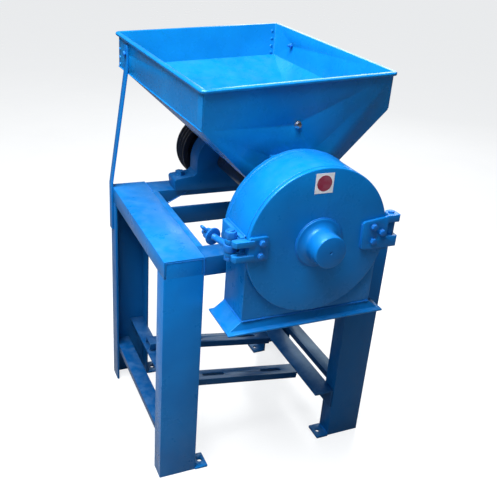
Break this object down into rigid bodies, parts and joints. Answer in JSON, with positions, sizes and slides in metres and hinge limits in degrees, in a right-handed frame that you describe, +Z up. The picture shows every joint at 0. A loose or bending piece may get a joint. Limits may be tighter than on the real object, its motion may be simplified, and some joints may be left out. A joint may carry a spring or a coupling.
{
  "type": "hammer mill",
  "caption": "Drum-casing hammer mill with a hinged round door, swing-bolt latch, open feed hopper and grooved pulley on a channel-iron frame with a motor seat.",
  "frame": {"origin": "centre of the bounding box's footprint, on the floor", "axes": "+Z up, -Y towards the door, +X to the right when facing the door, so the pulley end is +Y"},
  "size_m": [0.6306, 0.8311, 1.0887],
  "materials": {
    "blue_enamel": "semi-gloss azure blue enamel",
    "blue_enamel_hopper": "semi-gloss azure blue enamel on sheet",
    "black_iron": "black painted casting",
    "zinc_plate": "bright zinc plate",
    "bright_steel": "turned steel",
    "hammer_steel": "dark worn steel"
  },
  "bodies": {
    "frame": {"left_front_leg": "blue_enamel", "left_rear_leg": "blue_enamel", "left_beam": "blue_enamel", "left_beam_doubler": "blue_enamel", "left_front_foot": "blue_enamel", "left_rear_foot": "blue_enamel", "left_outer_rail": "blue_enamel", "left_motor_angle": "blue_enamel", "left_hopper_stay": "blue_enamel", "left_stay_bolt": "blue_enamel", "right_front_leg": "blue_enamel", "right_rear_leg": "blue_enamel", "right_beam": "blue_enamel", "right_beam_doubler": "blue_enamel", "right_front_foot": "blue_enamel", "right_rear_foot": "blue_enamel", "right_outer_rail": "blue_enamel", "right_motor_angle": "blue_enamel", "right_hopper_stay": "blue_enamel", "right_stay_bolt": "blue_enamel", "front_cross_member": "blue_enamel", "middle_cross_bar": "blue_enamel", "rear_cross_member": "blue_enamel", "front_motor_rail": "blue_enamel", "rear_motor_rail": "blue_enamel", "casing_shell": "blue_enamel", "casing_back_plate": "blue_enamel", "discharge_skirt": "blue_enamel", "sizing_screen": "bright_steel", "casing_hinge_knuckle": "blue_enamel", "hinge_pin": "bright_steel", "casing_latch_lug": "blue_enamel", "latch_pivot_bolt": "blue_enamel", "front_pillow_block": "blue_enamel", "rear_pillow_block": "blue_enamel", "hopper_bin": "blue_enamel_hopper", "gate_bolt": "zinc_plate"},
    "rotor": {"rotor_shaft": "bright_steel", "rotor_front_disc": "hammer_steel", "rotor_rear_disc": "hammer_steel", "rotor_nut": "bright_steel", "shaft_pulley": "black_iron"},
    "hammer_1_body": {"hammer_1": "hammer_steel"},
    "hammer_2_body": {"hammer_2": "hammer_steel"},
    "hammer_3_body": {"hammer_3": "hammer_steel"},
    "hammer_4_body": {"hammer_4": "hammer_steel"},
    "gate": {"feed_gate": "blue_enamel_hopper"},
    "door": {"door_plate": "blue_enamel", "door_boss": "blue_enamel", "hinge_bracket": "blue_enamel", "hinge_bolt_1": "blue_enamel", "hinge_bolt_2": "blue_enamel", "hinge_bolt_3": "blue_enamel", "latch_bracket": "blue_enamel", "latch_bolt_1": "blue_enamel", "latch_bolt_2": "blue_enamel"},
    "swing": {"swing_bolt": "blue_enamel"},
    "washer": {"clamp_washer": "blue_enamel"},
    "nut": {"wing_nut": "blue_enamel"}
  },
  "joints": [
    {"name": "rotor_spin", "type": "hinge", "parent": "frame", "child": "rotor", "pos_m": [0.003, -0.11305, 0.735], "axis": [0, 1, 0], "continuous": true},
    {"name": "hammer_1_swing", "type": "hinge", "parent": "rotor", "child": "hammer_1_body", "pos_m": [0.07018, -0.29505, 0.80217], "axis": [0, 1, 0], "continuous": true},
    {"name": "hammer_2_swing", "type": "hinge", "parent": "rotor", "child": "hammer_2_body", "pos_m": [-0.06417, -0.29505, 0.80217], "axis": [0, 1, 0], "continuous": true},
    {"name": "hammer_3_swing", "type": "hinge", "parent": "rotor", "child": "hammer_3_body", "pos_m": [-0.06417, -0.29505, 0.66783], "axis": [0, 1, 0], "continuous": true},
    {"name": "hammer_4_swing", "type": "hinge", "parent": "rotor", "child": "hammer_4_body", "pos_m": [0.07018, -0.29505, 0.66783], "axis": [0, 1, 0], "continuous": true},
    {"name": "door_hinge", "type": "hinge", "parent": "frame", "child": "door", "pos_m": [0.197, -0.34505, 0.735], "axis": [0, 0, 1], "range_deg": [0, 160]},
    {"name": "latch_swing", "type": "hinge", "parent": "frame", "child": "swing", "pos_m": [-0.202, -0.33505, 0.739], "axis": [0, 0, 1], "range_deg": [0, 164]},
    {"name": "nut_travel", "type": "slide", "parent": "swing", "child": "washer", "axis": [-0.2756, 0.9613, 0], "range_m": [-0.0245, 0.008]},
    {"name": "nut_spin", "type": "hinge", "parent": "washer", "child": "nut", "pos_m": [-0.22129, -0.26776, 0.739], "axis": [-0.2756, 0.9613, 0], "range_deg": [-4410, 1440]},
    {"name": "feed_gate_slide", "type": "slide", "parent": "frame", "child": "gate", "axis": [0, 0, 1], "range_m": [0, 0.048]}
  ],
  "couplings": [
    {"joint": "nut_travel", "follows": "nut_spin", "m_per_rad": 0.00031831}
  ]
}
